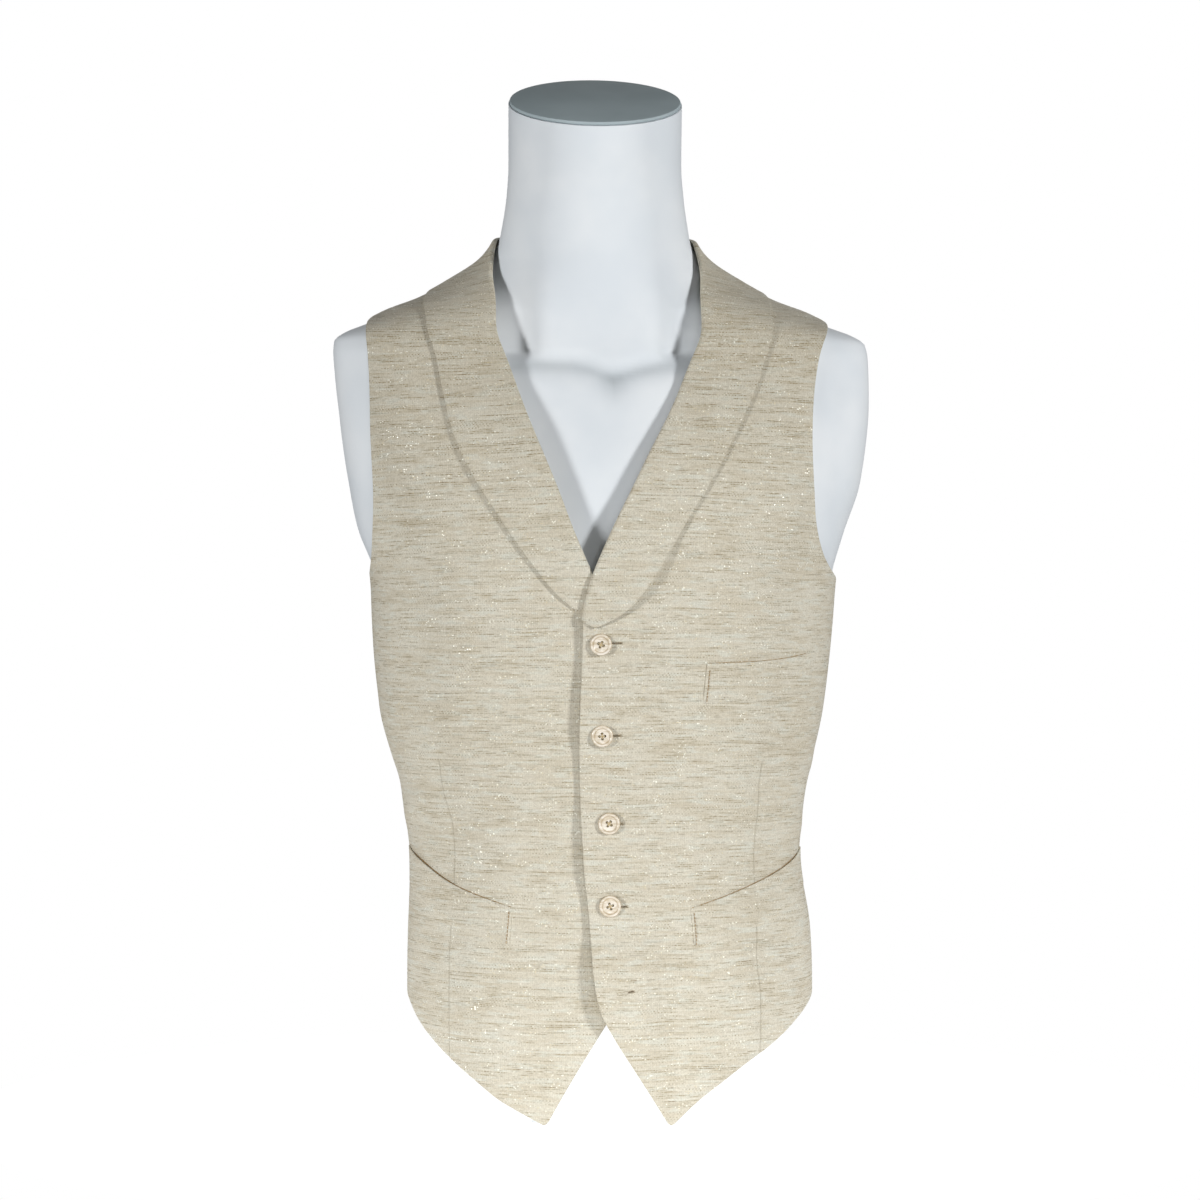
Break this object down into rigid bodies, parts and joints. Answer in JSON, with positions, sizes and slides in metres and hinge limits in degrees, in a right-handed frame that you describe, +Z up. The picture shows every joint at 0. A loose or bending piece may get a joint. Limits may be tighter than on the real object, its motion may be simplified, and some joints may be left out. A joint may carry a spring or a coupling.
{
  "type": "suit waistcoat on a dress form",
  "caption": "Sleeveless suit waistcoat with a shawl collar, pointed fronts, welt pockets and a buttoned front, worn on a limbless dress form with a capped neck.",
  "frame": {"origin": "middle of the part's box, on the surface that the dress form's foot stands on", "axes": "+Z up the form, +X towards the wearer's left, -Y out of the front"},
  "size_m": [0.3914, 0.2408, 0.7601],
  "materials": {
    "suiting": "matte slubbed weave with a few metallic flecks",
    "button": "pearly polished",
    "form_shell": "smooth satin",
    "neck_cap": "smooth satin"
  },
  "bodies": {
    "root": {"form_torso": "form_shell", "form_foot": "form_shell", "form_neck_cap": "neck_cap", "front_left": "suiting", "front_right": "suiting", "back_left": "suiting", "back_right": "suiting", "collar_left": "suiting", "collar_right": "suiting", "welt_lower_left": "suiting", "welt_lower_right": "suiting", "welt_breast": "suiting", "button_1": "button", "button_2": "button", "button_3": "button", "button_4": "button", "button_5": "button"}
  },
  "joints": []
}
